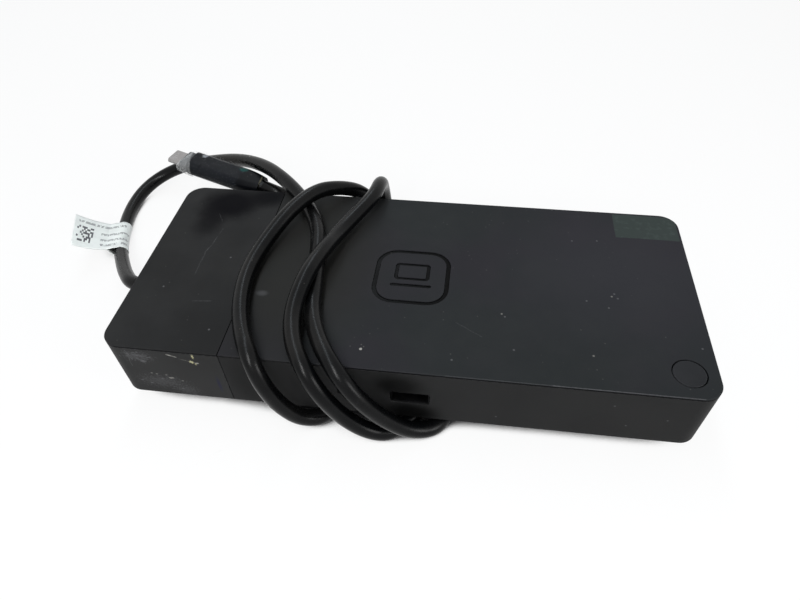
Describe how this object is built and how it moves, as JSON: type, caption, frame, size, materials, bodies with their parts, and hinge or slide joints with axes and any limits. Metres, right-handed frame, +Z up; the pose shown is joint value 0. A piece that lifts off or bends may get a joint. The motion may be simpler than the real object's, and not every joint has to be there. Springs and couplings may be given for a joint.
{
  "type": "laptop docking station",
  "caption": "Flat laptop dock: two-part vented case with data, video, network and power ports, sprung power button, inner fan, and a captive host cord wound round the body.",
  "frame": {"origin": "centre of the dock's box, rubber feet included, the host cord and its boot left out", "axes": "+X along the box towards the power-button end, +Y towards the rear ports, +Z up out of the lid"},
  "size_m": [0.2665, 0.1482, 0.0467],
  "materials": {
    "case_top": "fine matte texture",
    "case_side": "fine matte texture",
    "gloss_black": "polished inlay",
    "button": "satin",
    "rubber": "matt",
    "steel": "plated",
    "black_plastic": "moulded",
    "port_plastic": "moulded",
    "gold": "gold plated",
    "board": "solder mask",
    "chip": "moulded",
    "coil": "pressed ferrite",
    "can": "rolled sleeve",
    "heat_sink": "extruded",
    "fan": "moulded",
    "cord": "satin jacket",
    "plug_grey": "moulded",
    "plug_metal": "drawn",
    "clear_film": "thin clear film",
    "label": "glossy sticker"
  },
  "bodies": {
    "dock": {"top_cover": "case_top", "module_cover": "case_top", "emblem_inlay": "gloss_black", "main_walls": "case_side", "module_walls": "case_side", "base_cover": "case_side", "module_base": "case_side", "rubber_feet": "rubber", "base_screws": "steel", "module_screws": "steel", "tactile_switch": "black_plastic", "switch_board": "board", "switch_pegs": "black_plastic", "main_board": "board", "module_board": "board", "board_screws": "steel", "link_socket": "black_plastic", "link_plug": "black_plastic", "hub_chips": "chip", "power_coils": "coil", "capacitors": "can", "heat_sink": "heat_sink", "chip_shield": "steel", "fan_frame": "fan", "front_usb_a_shell": "steel", "front_usb_a_tongue": "port_plastic", "front_usb_c_shell": "steel", "front_usb_c_tongue": "port_plastic", "rear_usb_a_shells": "steel", "rear_usb_a_tongues": "port_plastic", "rear_usb_c_shell": "steel", "rear_usb_c_tongue": "port_plastic", "module_usb_c_shell": "steel", "module_usb_c_tongue": "port_plastic", "wide_video_shell": "steel", "wide_video_tongue": "port_plastic", "latched_video_shells": "steel", "latched_video_tongues": "port_plastic", "network_jack": "port_plastic", "network_contacts": "gold", "power_inlet": "port_plastic", "inlet_pin": "gold", "headset_jack": "port_plastic", "lock_plate": "steel", "cord_boot": "cord", "inner_lead": "cord", "lead_socket": "black_plastic", "host_cord": "cord", "plug_relief": "cord", "plug_overmold": "black_plastic", "plug_sleeve": "clear_film", "plug_nose": "plug_grey", "plug_shell": "plug_metal", "plug_contacts": "port_plastic", "label_flag": "label"},
    "power_button": {"power_button": "button"},
    "switch_plunger": {"switch_plunger": "black_plastic"},
    "fan_rotor": {"fan_impeller": "fan"}
  },
  "joints": [
    {"name": "button_press", "type": "slide", "parent": "dock", "child": "power_button", "axis": [0, 0, 1], "range_m": [-0.0005, 0], "stiffness_N_per_m": 900, "springref_m": 0.0004},
    {"name": "plunger_travel", "type": "slide", "parent": "dock", "child": "switch_plunger", "axis": [0, 0, 1], "range_m": [-0.0005, 0]},
    {"name": "fan_spin", "type": "hinge", "parent": "dock", "child": "fan_rotor", "pos_m": [0.072, 0, 0.005], "axis": [0, 0, 1], "continuous": true}
  ],
  "couplings": [
    {"joint": "plunger_travel", "follows": "button_press", "ratio": 1}
  ]
}
